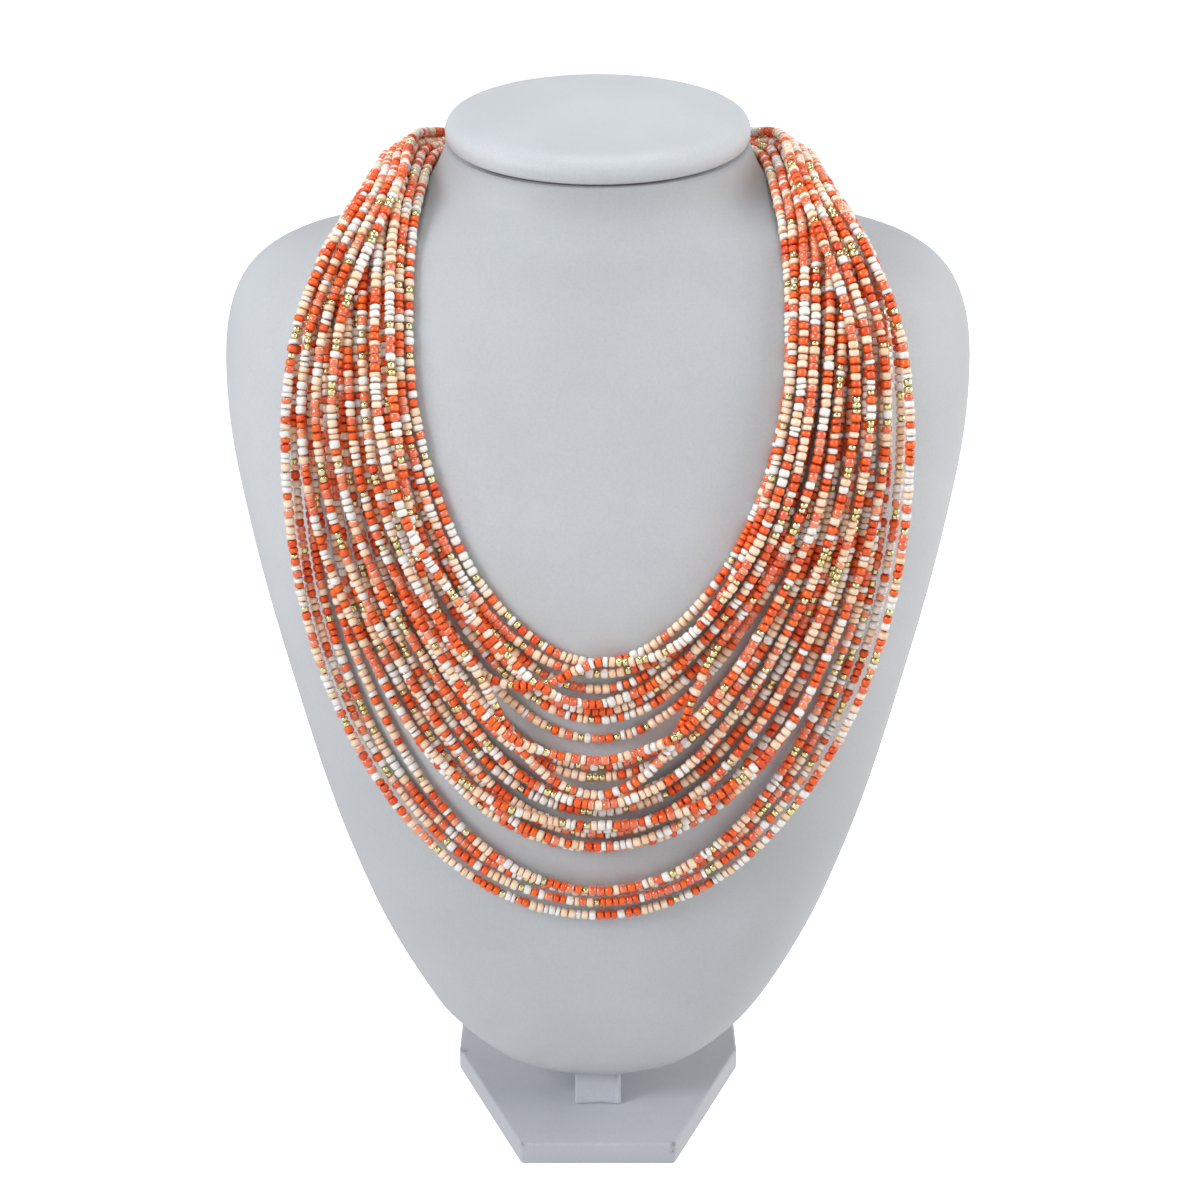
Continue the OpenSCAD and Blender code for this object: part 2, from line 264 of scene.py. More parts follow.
def mix(tree, factor, first, second, blend="MIX"):
    """Mix two colours; each may be a socket or a plain colour."""
    made = node(tree, "ShaderNodeMix", data_type="RGBA", blend_type=blend)
    sockets = made.inputs["Factor"], made.inputs[6], made.inputs[7]
    for socket, value in zip(sockets, (factor, first, second)):
        if isinstance(value, bpy.types.NodeSocket):
            tree.links.new(value, socket)
        elif isinstance(value, tuple):
            socket.default_value = (*value, 1)
        else:
            socket.default_value = value
    return made.outputs[2]


def fade(tree, source, near_mm, far_mm, way="LINEAR"):
    """A mask that is 1 up to one distance and falls to 0 at another."""
    made = node(tree, "ShaderNodeMapRange", interpolation_type=way)
    made.inputs["From Min"].default_value = near_mm * mm
    made.inputs["From Max"].default_value = far_mm * mm
    made.inputs["To Min"].default_value = 1
    made.inputs["To Max"].default_value = 0
    tree.links.new(source, made.inputs["Value"])
    return made.outputs["Result"]


black = (0.0, 0.0, 0.0)
print("helpers for materials:", [helper.__name__ for helper in (noise, maths, mix, fade)])

# %% Masks for marks, and for the seam's dark line with its painted shade
seam_tilt = math.radians(12)
neck_top, neck_axis, half_gap = 296, 5.375, 0.15
seam_height = neck_top - neck_axis * math.tan(seam_tilt) + half_gap
seam_front = (28, 43)  # the line is dark up to this far from the middle, and gone at that


def spot(tree, place, centre_mm, radius_mm, soft_mm):
    """A mask that is 1 inside a small ball round a point, and fades to 0 outside it."""
    apart = node(tree, "ShaderNodeVectorMath", operation="DISTANCE")
    tree.links.new(place, apart.inputs[0])
    apart.inputs[1].default_value = [c * mm for c in centre_mm]
    return fade(tree, apart.outputs["Value"], radius_mm, radius_mm + soft_mm, "SMOOTHSTEP")


def seam_line_shade_mask(tree, place, dark_mm, soft_mm):
    """A mask along the slanting seam between neck and cap, strongest in front: the dark tucked-in
    edges and painted shade in the gap.
    """
    rise = node(tree, "ShaderNodeVectorMath", operation="DOT_PRODUCT")
    tree.links.new(place, rise.inputs[0])
    rise.inputs[1].default_value = (0, -math.tan(seam_tilt), 1)
    off = maths(tree, "SUBTRACT", rise.outputs["Value"], seam_height * mm)
    sides = node(tree, "ShaderNodeSeparateXYZ")
    tree.links.new(place, sides.inputs["Vector"])
    line = fade(tree, maths(tree, "ABSOLUTE", off), dark_mm, dark_mm + soft_mm)
    front = fade(tree, maths(tree, "ABSOLUTE", sides.outputs["X"]), *seam_front)
    return maths(tree, "MULTIPLY", line, front)


print("middle of the seam at the body's axis, in mm:", round(seam_height, 2))


# %% Painted light and shade by height, and small marks on the cover
def painted_shading_by_height(tree, place, colour, painted_shading):
    """Paint light and shade on a cover by height, from a list of (height in mm, brightness)."""
    top = painted_shading[-1][0]
    sides = node(tree, "ShaderNodeSeparateXYZ")
    tree.links.new(place, sides.inputs["Vector"])
    rise = maths(tree, "MULTIPLY", sides.outputs["Z"], 1 / (top * mm))
    # painted light and shade: the brightness by height as a ramp
    pale = ramp(tree, rise, *((high / top, grey) for high, grey in painted_shading))
    return mix(tree, 1.0, colour, pale, "MULTIPLY")


def rub(tree, place, colour, speckle, marks):
    """Add small dark marks: marks is a list of (centre in mm, radius, softness, darkness)."""
    rubbed = ramp(tree, speckle, (0.46, 0.15), (0.56, 1.0))
    for centre, radius, soft, darkness in marks:
        worn = maths(tree, "MULTIPLY", spot(tree, place, centre, radius, soft), darkness)
        colour = mix(tree, mix(tree, worn, black, rubbed), colour, (0.16, 0.15, 0.16))
    return colour


def shaded(tint, brightness):
    """A tint made paler or darker as a whole."""
    return tuple(c * brightness for c in tint)


cover_tint = (0.509, 0.530, 0.549)
print("cover:", cover_tint)


# %% Leatherette material
def leatherette(name, tint, marks=(), seam=False, painted_shading=()):
    """A pale grained cover, with marks, the dark line of the seam with its painted shade, and light
    and shade painted by height.
    """
    material, tree, shader = new_material(name)
    place = object_place(tree)
    cloud = noise(tree, place, Scale=28.0, Detail=3.0, Roughness=0.55)
    speckle = noise(tree, place, Scale=1500.0, Detail=3.0, Roughness=0.6)
    fine = noise(tree, place, Scale=3200.0, Detail=2.0)
    cells = node(tree, "ShaderNodeTexVoronoi", feature="SMOOTH_F1", Scale=1150.0)
    tree.links.new(place, cells.inputs["Vector"])

    base = ramp(tree, cloud, (0.3, shaded(tint, 0.965)), (0.7, shaded(tint, 1.03)))
    grain = ramp(tree, speckle, (0.3, 0.93), (0.62, 1.0))
    colour = mix(tree, 1.0, base, grain, "MULTIPLY")
    flaws = ramp(tree, speckle, (0.765, 0.0), (0.80, 1.0))
    colour = mix(tree, flaws, colour, shaded(tint, 0.72))
    # painted light and shade by height: paler over the chest, darker high on the neck under the cap
    if painted_shading:
        colour = painted_shading_by_height(tree, place, colour, painted_shading)
    if marks:
        colour = rub(tree, place, colour, speckle, marks)
    # the seam's dark line: partly the dark tucked-in edges of the cover, partly painted shade in the
    # gap between cap and neck
    if seam:
        patchy = ramp(tree, cloud, (0.35, 0.35), (0.6, 0.85))
        line = seam_line_shade_mask(tree, place, dark_mm=0.12, soft_mm=0.25)
        colour = mix(tree, mix(tree, line, black, patchy), colour, (0.12, 0.105, 0.13))
    tree.links.new(colour, shader.inputs["Base Color"])

    rough = ramp(tree, speckle, (0.35, 0.44), (0.65, 0.56))
    tree.links.new(rough, shader.inputs["Roughness"])
    shader.inputs["Specular IOR Level"].default_value = 0.35
    height = maths(tree, "MULTIPLY_ADD", cells.outputs["Distance"], 0.7, fine)
    bump = node(tree, "ShaderNodeBump", Strength=0.35, Distance=0.00006)
    tree.links.new(height, bump.inputs["Height"])
    tree.links.new(bump.outputs["Normal"], shader.inputs["Normal"])
    return material


# %% [markdown]
# ## The bust
# The real body is a moulded form with a thin layer of padding and the cover stretched over it, so
# it has no hard edges except where the neck is cut off under its cap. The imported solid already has
# that form in flat facets. A cloth simulation would bring nothing, because a cover so tight shows
# no folds. So the copy is subdivided twice, with the neck's rim and the post's socket kept sharp.
# Subdivision pulls a surface inwards, so the copy's corners are first pushed out until the rounded
# surface passes through the solid's own corners again.

# %% Helpers for a smooth form
soft_corner = math.radians(45)


def keep_sharp(piece, degrees):
    """Crease the edges between faces that meet at a steep angle."""
    pick(piece)
    bpy.ops.object.mode_set(mode="EDIT")
    bpy.ops.mesh.select_mode(type="EDGE")
    bpy.ops.mesh.select_all(action="DESELECT")
    bpy.ops.mesh.edges_select_sharp(sharpness=math.radians(degrees))
    bpy.ops.transform.edge_crease(value=1)
    bpy.ops.object.mode_set(mode="OBJECT")


def round_off(piece, levels, passes):
    """Subdivide a piece; each pass brings the rounded surface nearer to the solid's corners."""
    pick(piece)
    rounding = piece.modifiers.new("rounding", "SUBSURF")
    rounding.levels = levels
    rounding.render_levels = levels
    aim = [v.co.copy() for v in piece.data.vertices]
    for _ in range(passes):
        rounded = piece.evaluated_get(bpy.context.evaluated_depsgraph_get()).data
        missed = [goal - rounded.vertices[i].co for i, goal in enumerate(aim)]
        for vertex, step in zip(piece.data.vertices, missed):
            vertex.co += step
        piece.data.update()
    bpy.ops.object.modifier_apply(modifier=rounding.name)
    bpy.ops.object.shade_smooth_by_angle(angle=soft_corner)
    print(piece.name, "rounded, corners:", len(piece.data.vertices))


# %% Covered bust
bust_marks = [
    ((5.3, -31.2, 291.6), 0.15, 0.25, 0.55),
    ((5.5, -31.4, 290.4), 0.12, 0.2, 0.4),
]
# brightness by height in mm, painted light and shade: palest over the chest, darkest just under the
# cap
bust_painted_shading = ((40, 1.06), (100, 0.97), (150, 1.04), (200, 1.1), (255, 0.96), (296, 0.8))
bust_cover = leatherette("bust_cover", cover_tint, bust_marks, seam=True, painted_shading=bust_painted_shading)
body = merged_copy("neck_bust", "covered_bust")
keep_sharp(body, degrees=55)
round_off(body, levels=2, passes=5)
dress(body, "neck_bust", "leatherette", bust_cover)

# %% Covered cap
cap_marks = [((-21.6, -28.6, 295.0), 0.2, 0.5, 0.4)]
cap_cover = leatherette("cap_cover", shaded(cover_tint, 1.06), cap_marks, seam=True)
cap = merged_copy("neck_cap", "covered_cap")
round_off(cap, levels=2, passes=0)
dress(cap, "neck_cap", "leatherette", cap_cover)

# %% [markdown]
# ## Post and foot
# Both are boards wrapped in the same cover. Wrapping gives a soft edge about a millimetre wide,
# and the cover is thin and rubbed at the corners, where it was folded in. The solids' copies get
# a rounded bevel, and the foot's rubbed corners are small dark marks. The post's cover is cut by
# planes into narrow faces, so that its front can sag between the edges, its glued overlap can stand
# up at the right, and its lower edge can wave clear of the foot.

# %% Helper for wrapped boards
least_bend, flat_bend = math.radians(20), math.radians(35)


def wrap_edges(piece, width_mm, segments):
    """Round all sharp edges of a board as a wrapped cover does."""
    pick(piece)
    fold = piece.modifiers.new("fold", "BEVEL")
    fold.width = width_mm * mm
    fold.segments = segments
    fold.limit_method = "ANGLE"
    fold.angle_limit = least_bend
    bpy.ops.object.modifier_apply(modifier=fold.name)
    bpy.ops.object.shade_smooth_by_angle(angle=flat_bend)
    print(piece.name, "wrapped, edges rounded by", width_mm, "mm")


# %% Wrapped foot
foot_low, foot_high = (Vector(corner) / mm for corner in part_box("foot"))
front_corner = 23  # how far from the middle the foot's front corners are cut
foot_marks = [
    ((-front_corner, foot_low.y, foot_high.z), 0.6, 1.4, 0.7),
    ((front_corner, foot_low.y, foot_high.z), 0.7, 1.5, 0.8),
    ((front_corner - 0.4, foot_low.y, foot_high.z - 2.4), 0.3, 1.6, 0.6),
    ((foot_low.x, 4, foot_high.z), 0.6, 1.6, 0.8),
    ((foot_low.x + 1.8, 3, foot_high.z), 0.4, 1.2, 0.8),
    ((foot_high.x, 4, foot_high.z), 0.4, 1.0, 0.8),
]
foot_cover = leatherette("foot_cover", (0.488, 0.506, 0.542), foot_marks)
foot = merged_copy("foot", "wrapped_foot")
wrap_edges(foot, width_mm=0.9, segments=3)
dress(foot, "foot", "leatherette", foot_cover)

# %% Cut the post's cover into narrow faces
post_low, post_high = (Vector(corner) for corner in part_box("post"))
post = merged_copy("post", "wrapped_post")
wrap_edges(post, width_mm=0.6, segments=3)
overlap_width, overlap_step = 1.25 * mm, 0.12 * mm
fold_x = post_high.x - overlap_width
side_cuts = [x * mm for x in range(-6, 6)] + [fold_x, fold_x - overlap_step]
height_cuts = [post_low.z + rise * mm for rise in (1, 1.6, 2.4, 3.6, 5, 7, 10)]
bpy.ops.object.mode_set(mode="EDIT")
for normal, offsets in (((1, 0, 0), side_cuts), ((0, 0, 1), height_cuts)):
    for offset in offsets:
        bpy.ops.mesh.select_all(action="SELECT")
        bpy.ops.mesh.bisect(plane_co=[offset * n for n in normal], plane_no=normal)
bpy.ops.object.mode_set(mode="OBJECT")
print("post's cover cut, corners:", len(post.data.vertices))

# %% Shape the post's cover
front_depth, edge_reach = 0.8, 4  # how deep the front's skin is, and how high its edge waves


def sag(x, rise):
    """How far the cover sinks in, in mm: all over, in the middle, and at a crease near the foot."""
    crease = (rise - 3.2 - 0.05 * x * x) / 0.9
    return 0.22 + 0.22 * max(0.0, 1 - (x / 6.4) ** 2) + 0.1 * math.exp(-crease ** 2)


def wave(x):
    """How far the cover's lower edge stands clear of the foot, in mm."""
    return max(0.0, 0.9 * math.exp(-((x - 0.6) / 3.2) ** 2) + 0.15 * math.sin(1.1 * x))


for v in post.data.vertices:
    front = max(0.0, 1 - (v.co.y - post_low.y) / (front_depth * mm))
    x, rise = v.co.x / mm, (v.co.z - post_low.z) / mm
    if v.co.x < fold_x - overlap_step / 2:
        v.co.y += front * sag(x, rise) * mm
    v.co.z += front * wave(x) * max(0.0, 1 - rise / edge_reach) * mm
bpy.ops.object.shade_smooth_by_angle(angle=flat_bend)
dress(post, "post", "leatherette", leatherette("post_cover", (0.524, 0.551, 0.592)))

# %% [markdown]
# ## The clasp
# The clasp lies hidden at the nape. A box clasp is pressed from thin gilt brass, with rounded
# edges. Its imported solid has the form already, so a copy gets a small bevel and a brushed,
# slightly clouded gold: a noise that is drawn out along the clasp changes both the colour and the
# roughness.

# %% Gilt clasp
gilt, gilt_tree, gilt_shader = new_material("gilt_brass")
drawn_out = node(gilt_tree, "ShaderNodeMapping", Scale=(1, 12, 12))
gilt_tree.links.new(object_place(gilt_tree), drawn_out.inputs["Vector"])
brushing = noise(gilt_tree, drawn_out.outputs["Vector"], Scale=260.0, Detail=4.0)
gilt_colour = ramp(gilt_tree, brushing, (0.3, (0.60, 0.45, 0.17)), (0.7, (0.78, 0.62, 0.28)))
gilt_rough = ramp(gilt_tree, brushing, (0.3, 0.22), (0.7, 0.36))
gilt_tree.links.new(gilt_colour, gilt_shader.inputs["Base Color"])
gilt_tree.links.new(gilt_rough, gilt_shader.inputs["Roughness"])
gilt_shader.inputs["Metallic"].default_value = 1
clasp = merged_copy("clasp", "gilt_clasp")
wrap_edges(clasp, width_mm=0.35, segments=2)
dress(clasp, "clasp", "gold", gilt)

# %% [markdown]
# ## The beads
# Seed beads are cut from a drawn glass tube and tumbled until their rims are round, so no two are
# quite the same length. The necklace mixes five sorts: opaque orange, coral with a bright lustre,
# peach, white, and a smaller one in pale gold. A row of small balls would look like pearls: what
# makes a seed bead is its straight side and its round rims. So one bead is modelled here as a
# short eight-sided drum, drilled through, with its ends bevelled in two steps right up to the
# bore. With only four dozen faces it can be strung thousands of times, and smooth shading rounds
# it off.

# %% Drill a drum
bead_sides = 8
bead_bore = 0.42
bead_depth = 2.1
bead_rim = (1 - bead_bore) * math.cos(math.pi / bead_sides)  # how wide the rounding is


def drilled_drum(name):
    """A drum of radius 1 along Z with a bore through it."""
    bpy.ops.object.select_all(action="DESELECT")
    bpy.ops.mesh.primitive_cylinder_add(vertices=bead_sides, radius=1, depth=bead_depth,
                                        end_fill_type="NGON")
    drum = bpy.context.object
    drum.name = name
    bpy.ops.object.mode_set(mode="EDIT")
    bpy.ops.mesh.select_mode(type="FACE")
    bpy.ops.mesh.select_all(action="DESELECT")
    bpy.ops.object.mode_set(mode="OBJECT")
    for face in drum.data.polygons:
        face.select = abs(face.normal.z) > 0.9
    bpy.ops.object.mode_set(mode="EDIT")
    bpy.ops.mesh.inset(thickness=1 - bead_bore, use_even_offset=False)
    bpy.ops.mesh.delete(type="ONLY_FACE")
    bpy.ops.mesh.select_mode(type="EDGE")
    bpy.ops.mesh.select_all(action="DESELECT")
    bpy.ops.mesh.select_non_manifold()
    bpy.ops.mesh.bridge_edge_loops()
    bpy.ops.mesh.select_all(action="DESELECT")
    bpy.ops.object.mode_set(mode="OBJECT")
    return drum


bead = drilled_drum("one_bead")
print("drilled drum, faces:", len(bead.data.polygons))

# %% Round its ends
for edge in bead.data.edges:
    start, end = (bead.data.vertices[v].co for v in edge.vertices)
    outside = all(math.hypot(corner.x, corner.y) > 0.9 for corner in (start, end))
    edge.select = outside and abs(start.z - end.z) < 0.1
bpy.ops.object.mode_set(mode="EDIT")
bpy.ops.mesh.bevel(offset=bead_rim, segments=2, affect="EDGES", clamp_overlap=False)
bpy.ops.mesh.select_all(action="SELECT")
bpy.ops.mesh.remove_doubles(threshold=0.01)
bpy.ops.mesh.normals_make_consistent(inside=False)
bpy.ops.object.mode_set(mode="OBJECT")
print("one bead, vertices:", len(bead.data.vertices), "faces:", len(bead.data.polygons))

# %% [markdown]
# ## A map for the bead
# A bead's colour changes from its rims to its middle, so it needs to be known how far along the
# bead a point lies. The bead is unwrapped as a label comes off a bottle: eight columns round it,
# and six rows that run from the bore over the outside and back through the bore.

# %% Unwrap the bead
flat = 0.5 - bead_rim / bead_depth
shoulder = 0.5 - (1 - math.sqrt(0.5)) * bead_rim / bead_depth
shoulder_radius = bead_bore + (1 - bead_bore) * math.sqrt(0.5)
profile = [(bead_bore, -0.5), (shoulder_radius, -shoulder), (1, -flat),
           (1, flat), (shoulder_radius, shoulder), (bead_bore, 0.5)]
rings = len(profile)
bead_points = np.array([v.co for v in bead.data.vertices]) / (1, 1, bead_depth)
bead_faces = np.array([list(face.vertices) for face in bead.data.polygons])
turn = np.arctan2(bead_points[:, 1], bead_points[:, 0]) / (2 * math.pi) * bead_sides
from_axis = np.hypot(bead_points[:, 0], bead_points[:, 1])
ring_of = np.array([
    min(range(rings), key=lambda k: math.hypot(radius - profile[k][0], height - profile[k][1]))
    for radius, height in zip(from_axis, bead_points[:, 2])])
bead_uv = np.zeros((len(bead_faces), 4, 2))
for f, corners in enumerate(bead_faces):
    x, y, _ = bead_points[corners].mean(axis=0)
    column = math.floor(math.atan2(y, x) / (2 * math.pi) * bead_sides + 1e-6)
    rows = [ring_of[corner] for corner in corners]
    for k, corner in enumerate(corners):
        side = round(turn[corner] - column) % bead_sides
        row = rings if rows[k] == 0 and rings - 1 in rows else rows[k]
        bead_uv[f, k] = ((column % bead_sides + side) / bead_sides, row / rings)
bpy.data.objects.remove(bead)
print("bead corners:", bead_uv.shape, "corners in each ring:", np.bincount(ring_of).tolist())

# %% [markdown]
# ## Glass for the beads
# All five sorts are glass, but they differ in how light leaves them. Opaque beads are one colour
# through and through, under a polished skin; their darker rims are painted shade between the beads.
# The coral ones are clear glass with a coloured lining: the colour is deep in the middle, the rims
# are pale, partly from the clear glass and partly as a painted highlight of the lustre, and the skin
# has a strong lustre. The gold ones are plated, and their darker rims are painted shade too. Each
# bead also takes a shade of its own from a value stored on it, because a batch of beads is never one
# colour.

# %% Bead material
bead_bands = (0.13, 0.28, 0.55, 0.7)  # rim up to the first, body between the second and third


def bead_material(name, middle, rim_shade_and_highlight, light_shade, dark_shade, rough, coat=0.0, metal=0.0,
                  level=0.5, glow=0.0):
    """Glass that is one colour at the middle of a bead and another at its rims; the rims' colour is
    painted shade, on the coral partly a painted highlight.
    """
    material, tree, shader = new_material(name)
    along = node(tree, "ShaderNodeSeparateXYZ")
    bead_map = node(tree, "ShaderNodeUVMap", uv_map="bead")
    tree.links.new(bead_map.outputs["UV"], along.inputs["Vector"])
    # the rims' colour is painted shade on orange, peach, white and gold, and partly a painted
    # highlight on the coral
    bands = zip(bead_bands, (rim_shade_and_highlight, middle, middle, rim_shade_and_highlight))
    own = node(tree, "ShaderNodeAttribute", attribute_name="bead_shade")
    shade = ramp(tree, own.outputs["Fac"],
                 (0.0, dark_shade), (0.5, (1.0, 1.0, 1.0)), (1.0, light_shade))
    colour = mix(tree, 1.0, ramp(tree, along.outputs["Y"], *bands), shade, "MULTIPLY")
    cloud = noise(tree, object_place(tree), Scale=900.0, Detail=2.0)
    colour = mix(tree, 1.0, colour, ramp(tree, cloud, (0.35, 0.93), (0.65, 1.0)), "MULTIPLY")
    tree.links.new(colour, shader.inputs["Base Color"])
    shader.inputs["Roughness"].default_value = rough
    shader.inputs["Specular IOR Level"].default_value = level
    shader.inputs["Metallic"].default_value = metal
    shader.inputs["Coat Weight"].default_value = coat
    shader.inputs["Coat Roughness"].default_value = 0.05
    shader.inputs["Sheen Weight"].default_value = glow
    shader.inputs["Sheen Roughness"].default_value = 0.28
    shader.inputs["Sheen Tint"].default_value = (1.0, 0.74, 0.64, 1)
    return material


# %% Five sorts of glass
# Rim colours: on orange, peach, white and gold beads they are painted shade between the beads; the
# coral's pale rims are partly its clear glass and partly a painted highlight of its lustre.
orange_glass = bead_material(
    "orange_glass", middle=(0.98, 0.128, 0.006), rim_shade_and_highlight=(0.55, 0.026, 0.003),
    light_shade=(1.0, 1.2, 1.2), dark_shade=(0.84, 0.6, 0.6), rough=0.35, coat=0.35)
peach_glass = bead_material(
    "peach_glass", middle=(1.0, 0.775, 0.555), rim_shade_and_highlight=(0.82, 0.43, 0.24),
    light_shade=(1.0, 1.06, 1.14), dark_shade=(0.96, 0.88, 0.8), rough=0.3, coat=0.5)
white_glass = bead_material(
    "white_glass", middle=(0.95, 0.93, 0.885), rim_shade_and_highlight=(0.76, 0.66, 0.57),
    light_shade=(1.02, 1.02, 1.02), dark_shade=(0.93, 0.93, 0.92), rough=0.22, coat=1.0)
coral_lustre = bead_material(
    "coral_lustre", middle=(0.95, 0.15, 0.035), rim_shade_and_highlight=(1.0, 0.42, 0.25),
    light_shade=(1.05, 2.2, 3.8), dark_shade=(0.92, 0.7, 0.6), rough=0.16, coat=1.0,
    level=0.9, glow=0.4)
plated_gold = bead_material(
    "plated_gold", middle=(1.0, 0.93, 0.5), rim_shade_and_highlight=(0.7, 0.58, 0.22),
    light_shade=(1.0, 1.03, 1.15), dark_shade=(0.9, 0.87, 0.8), rough=0.27, metal=1.0)

# %% The share of each sort, and its shortest and longest, thinnest and thickest bead in mm
bead_sorts = {
    "orange": dict(share=0.25, length=(1.6, 2.5), width=(2.62, 2.9), material=orange_glass),
    "peach": dict(share=0.26, length=(1.5, 2.5), width=(2.65, 3.0), material=peach_glass),
    "white": dict(share=0.22, length=(1.2, 2.6), width=(2.65, 3.1), material=white_glass),
    "coral": dict(share=0.15, length=(1.7, 2.6), width=(2.6, 2.9), material=coral_lustre),
    "gold": dict(share=0.12, length=(1.3, 2.1), width=(2.05, 2.55), material=plated_gold),
}
print("bead sorts:", {name: sort["share"] for name, sort in bead_sorts.items()})

# %% Waxed thread
thread_cotton, thread_tree, thread_shader = new_material("waxed_thread")
twist = noise(thread_tree, object_place(thread_tree), Scale=2600.0, Detail=2.0)
# The thread's warm brown is partly its own colour and partly painted shade: it warms the dark slits
# between the beads.
thread_colour_and_shade = ramp(thread_tree, twist, (0.35, (0.52, 0.24, 0.13)), (0.65, (0.68, 0.36, 0.2)))
thread_tree.links.new(thread_colour_and_shade, thread_shader.inputs["Base Color"])
thread_shader.inputs["Roughness"].default_value = 0.6
string_materials = [sort["material"] for sort in bead_sorts.values()] + [thread_cotton]
print("materials of a string:", [material.name for material in string_materials])

# %% [markdown]
# ## The route of each string
# Each string hangs from the nape over the shoulder and the chest, and lies over or under its
# neighbours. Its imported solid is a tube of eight-sided rings along that route. The route could be
# drawn again as a curve, but it is read from the solid, so the beads can't stray from it: the
# middle of each ring is a point of the thread, and the walk from one end of the tube to the other
# gives them all. A smooth curve through those points takes the corners out, as a taut thread full
# of beads does.

# %% Walk along a tube
tube_sides = 8


def ring_middles(solid):
    """The middles of the rings of a string's tube, from the end with the lower x to the other."""
    tube = merged_copy(solid, "tube", quads=False)
    points = [v.co.copy() for v in tube.data.vertices]
    near = [set() for _ in points]
    for edge in tube.data.edges:
        first, second = edge.vertices
        near[first].add(second)
        near[second].add(first)
    bpy.data.objects.remove(tube)

    def middle_of(ring):
        return sum((points[j] for j in ring), Vector()) / tube_sides

    tips = [i for i, around in enumerate(near)
            if len(around) == tube_sides and (middle_of(around) - points[i]).length < 1e-5]
    start = min(tips, key=lambda i: points[i].x)
    ring = near[start]
    seen = set(ring) | {start}
    middles = []
    while len(ring) == tube_sides:
        middles.append(middle_of(ring))
        seen |= ring
        ring = set().union(*(near[j] for j in ring)) - seen
    return np.array(middles)


print("rings of the first string:", len(ring_middles(strand_names[0])))

# %% Draw a smooth curve through the rings
steps_between_rings = 40
route_step = 0.5 * mm


def reach(line):
    """How far along a line each of its points lies."""
    return np.concatenate([[0], np.cumsum(np.linalg.norm(np.diff(line, axis=0), axis=1))])


def at(distance, line):
    """The points at the given distances along a line."""
    far = reach(line)
    return np.column_stack([np.interp(distance, far, line[:, axis]) for axis in range(3)])


def string_route(solid):
    """A string's route from one end to the other, a point every half millimetre."""
    knots = ring_middles(solid)
    knots = np.vstack([2 * knots[0] - knots[1], knots, 2 * knots[-1] - knots[-2]])
    t = np.linspace(0, 1, steps_between_rings, endpoint=False)[:, None]
    curve = [0.5 * (2 * b + (c - a) * t + (2 * a - 5 * b + 4 * c - d) * t ** 2
                    + (3 * b - 3 * c + d - a) * t ** 3)
             for a, b, c, d in zip(knots, knots[1:], knots[2:], knots[3:])]
    curve = np.vstack(curve + [knots[-2:-1]])
    length = reach(curve)[-1]
    return at(np.linspace(0, length, int(length / route_step) + 1), curve)


routes = {name: string_route(name) for name in strand_names}
print("thread in all, in m:", round(sum(reach(route)[-1] for route in routes.values()), 2))

# %% [markdown]
# ## Stringing
# A string is filled bead by bead from one end. Each bead is a sort drawn by its share, with its
# own length and width, turned at random about the thread and tipped a few degrees, since the
# thread is thinner than the bore. An Array and a Curve modifier could string copies too, but they
# would all be alike and in one colour. A seeded generator draws the beads, so every run strings
# the same necklace. To place thousands of copies of one bead quickly, their corners are worked
# out all at once as arrays.

# %% Draw the beads of a string
first_seed = 4100
same_again = 0.12  # how often the next bead is of the last one's sort
tip_spread = 0.1
play_mm, gap_mm = 0.1, 0.07


def drawn_beads(thread_length, seed):
    """Fill a thread with beads. A bead's row holds its place on the thread, its length, width,
    sort, shade and turn, two tips, and two shifts off the thread."""
    draw = random.Random(seed)
    sorts = list(bead_sorts)
    shares = [bead_sorts[sort]["share"] for sort in sorts]
    beads, reached, last = [], 0.0, None
    while True:
        sort = last if last and draw.random() < same_again else draw.choices(sorts, shares)[0]
        length = draw.uniform(*bead_sorts[sort]["length"]) * mm
        if reached + length > thread_length:
            break
        width = draw.uniform(*bead_sorts[sort]["width"]) * mm
        shade, spin = draw.random(), draw.random() * math.tau
        tips = draw.gauss(0, tip_spread), draw.gauss(0, tip_spread)
        shifts = draw.uniform(-play_mm, play_mm) * mm, draw.uniform(-play_mm, play_mm) * mm
        beads.append((reached + length / 2, length, width, sorts.index(sort), shade, spin,
                      *tips, *shifts))
        reached += length + draw.uniform(0.0, gap_mm) * mm
        last = sort
    beads = np.array(beads)
    beads[:, 0] += (thread_length - reached) / 2
    return beads


first_route = routes[strand_names[0]]
first_beads = drawn_beads(reach(first_route)[-1], first_seed)
print("beads on the first string:", len(first_beads))

# %% Set the beads on their thread
half_look = 0.6 * mm  # a bead lies along the thread from this far before it to this far after


def unit(ways):
    """Directions made one long."""
    return ways / np.linalg.norm(ways, axis=1)[:, None]


def across(ways):
    """Two unit vectors square to each direction."""
    side = unit(np.cross(ways, (0.31, -0.52, 0.79)))
    return side, np.cross(ways, side)


def placed_beads(beads, route):
    """The corners of all beads of a string, each in its place, turned and tipped."""
    place, length, width, _, _, spin, tip_a, tip_b, shift_a, shift_b = beads.T[:, :, None]
    place = place[:, 0]
    way = unit(at(place + half_look, route) - at(place - half_look, route))
    side, up = across(way)
    way = unit(way + side * tip_a + up * tip_b)
    side, up = across(way)
    right = side * np.cos(spin) + up * np.sin(spin)
    over = np.cross(way, right)
    middle = at(place, route) + side * shift_a + up * shift_b
    shaped = (bead_points[None, :, 0, None] * (right * width / 2)[:, None]
              + bead_points[None, :, 1, None] * (over * width / 2)[:, None]
              + bead_points[None, :, 2, None] * (way * length)[:, None])
    return (middle[:, None] + shaped).reshape(-1, 3)


print("corners of the first string's beads:", len(placed_beads(first_beads, first_route)))

